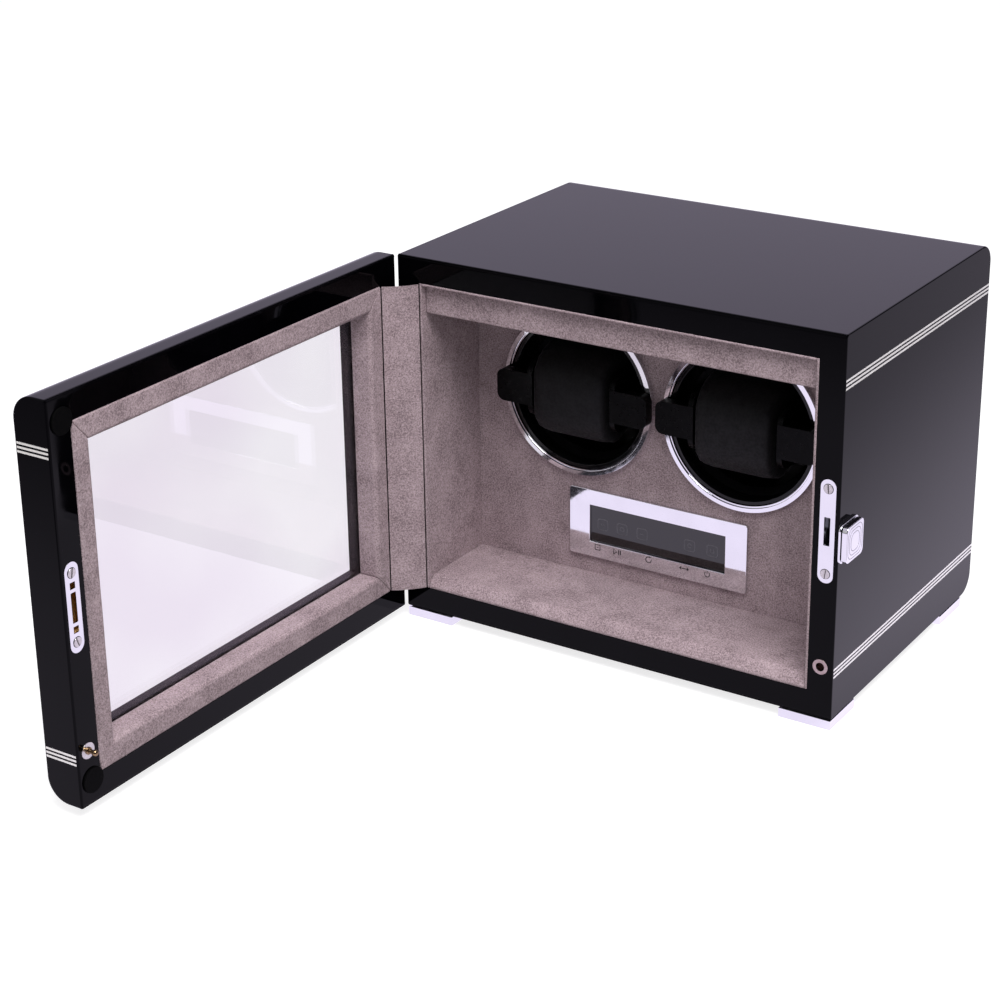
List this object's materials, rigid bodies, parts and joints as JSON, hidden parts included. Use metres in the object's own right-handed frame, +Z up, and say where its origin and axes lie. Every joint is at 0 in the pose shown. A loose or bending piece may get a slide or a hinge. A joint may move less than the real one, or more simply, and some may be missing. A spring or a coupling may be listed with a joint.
{
  "type": "watch winder box",
  "caption": "Glossy lacquered watch winder box with a glazed side-hinged door, suede lining, belt-driven rotating watch holders, a touch control panel, a hook lock and square metal feet.",
  "frame": {"origin": "middle of the case's footprint, on the table plane under the feet", "axes": "+X to the right-hand side with the lock, +Y to the back, +Z up; the door is open at a right angle at rest"},
  "size_m": [0.2807, 0.4361, 0.206],
  "materials": {
    "lacquer": "high-gloss black polyester lacquer on fibreboard",
    "inlay": "thin polished metal lines, flush with the lacquer",
    "suede": "taupe faux suede on board, short matt nap",
    "glass": "clear float glass",
    "polished_metal": "mirror polished plating",
    "steel": "plain steel",
    "gloss_black": "piano black moulding",
    "matt_black": "fine matt black moulding",
    "cushion_cover": "black faux suede over foam",
    "brass": "satin brass",
    "bronze": "dark bronze tone",
    "rubber": "black rubber",
    "circuit_board": "green solder mask",
    "wire_cover": "round two-core wire"
  },
  "bodies": {
    "case": {"case_shell": "lacquer", "case_inlays": "inlay", "back_cover": "matt_black", "back_cover_screws": "steel", "power_inlet": "matt_black", "wiring": "wire_cover", "liner_left": "suede", "liner_right": "suede", "liner_ceiling": "suede", "liner_floor": "suede", "valance": "suede", "rotor_panel": "suede", "ring_left": "polished_metal", "ring_right": "polished_metal", "motor_frame": "matt_black", "frame_posts": "steel", "shaft_bushes": "bronze", "motor_left": "steel", "motor_right": "steel", "motor_screws": "steel", "belt_left": "rubber", "belt_right": "rubber", "control_plate": "polished_metal", "display_window": "gloss_black", "display_module": "matt_black", "control_board": "circuit_board", "lock_faceplate": "polished_metal", "lock_screws": "polished_metal", "lock_case": "steel", "lock_rosette": "polished_metal", "guide_socket": "bronze", "feet": "polished_metal", "foot_screws": "steel", "hinge_case_leaf": "steel", "hinge_case_screws": "steel", "hinge_web": "suede"},
    "door": {"hinge_door_leaf": "steel", "hinge_door_screws": "steel", "hinge_pin": "steel", "door_frame": "lacquer", "door_inlays": "inlay", "door_glass": "glass", "door_pad_frame": "suede", "strike_plate": "polished_metal", "strike_screws": "polished_metal", "strike_box": "brass", "guide_pin": "brass", "door_bumpers": "rubber"},
    "lock_turn": {"lock_knob": "polished_metal", "lock_hook": "steel"},
    "rotor_left": {"drum_left": "gloss_black", "driven_pulley_left": "matt_black"},
    "holder_left": {"cradle_left": "matt_black", "cushion_left": "cushion_cover"},
    "motor_shaft_left": {"motor_pulley_left": "matt_black"},
    "rotor_right": {"drum_right": "gloss_black", "driven_pulley_right": "matt_black"},
    "holder_right": {"cradle_right": "matt_black", "cushion_right": "cushion_cover"},
    "motor_shaft_right": {"motor_pulley_right": "matt_black"}
  },
  "joints": [
    {"name": "door_hinge", "type": "hinge", "parent": "case", "child": "door", "pos_m": [-0.1276, -0.0901, 0.106], "axis": [0, 0, 1], "range_deg": [0, 90], "deforming": ["hinge_web"]},
    {"name": "knob_turn", "type": "hinge", "parent": "case", "child": "lock_turn", "pos_m": [0.1213, -0.08, 0.1002], "axis": [1, 0, 0], "range_deg": [0, 90]},
    {"name": "rotor_left_spin", "type": "hinge", "parent": "case", "child": "rotor_left", "pos_m": [-0.0486, -0.0295, 0.128], "axis": [0, 1, 0], "continuous": true},
    {"name": "holder_left_pull", "type": "slide", "parent": "rotor_left", "child": "holder_left", "axis": [0, -1, 0], "range_m": [0, 0.042]},
    {"name": "motor_left_spin", "type": "hinge", "parent": "case", "child": "motor_shaft_left", "pos_m": [-0.0486, 0.0205, 0.064], "axis": [0, 1, 0], "continuous": true},
    {"name": "rotor_right_spin", "type": "hinge", "parent": "case", "child": "rotor_right", "pos_m": [0.0486, -0.0295, 0.128], "axis": [0, 1, 0], "continuous": true},
    {"name": "holder_right_pull", "type": "slide", "parent": "rotor_right", "child": "holder_right", "axis": [0, -1, 0], "range_m": [0, 0.042]},
    {"name": "motor_right_spin", "type": "hinge", "parent": "case", "child": "motor_shaft_right", "pos_m": [0.0486, 0.0205, 0.064], "axis": [0, 1, 0], "continuous": true}
  ],
  "couplings": [
    {"joint": "motor_left_spin", "follows": "rotor_left_spin", "ratio": 3},
    {"joint": "motor_right_spin", "follows": "rotor_right_spin", "ratio": 3}
  ]
}
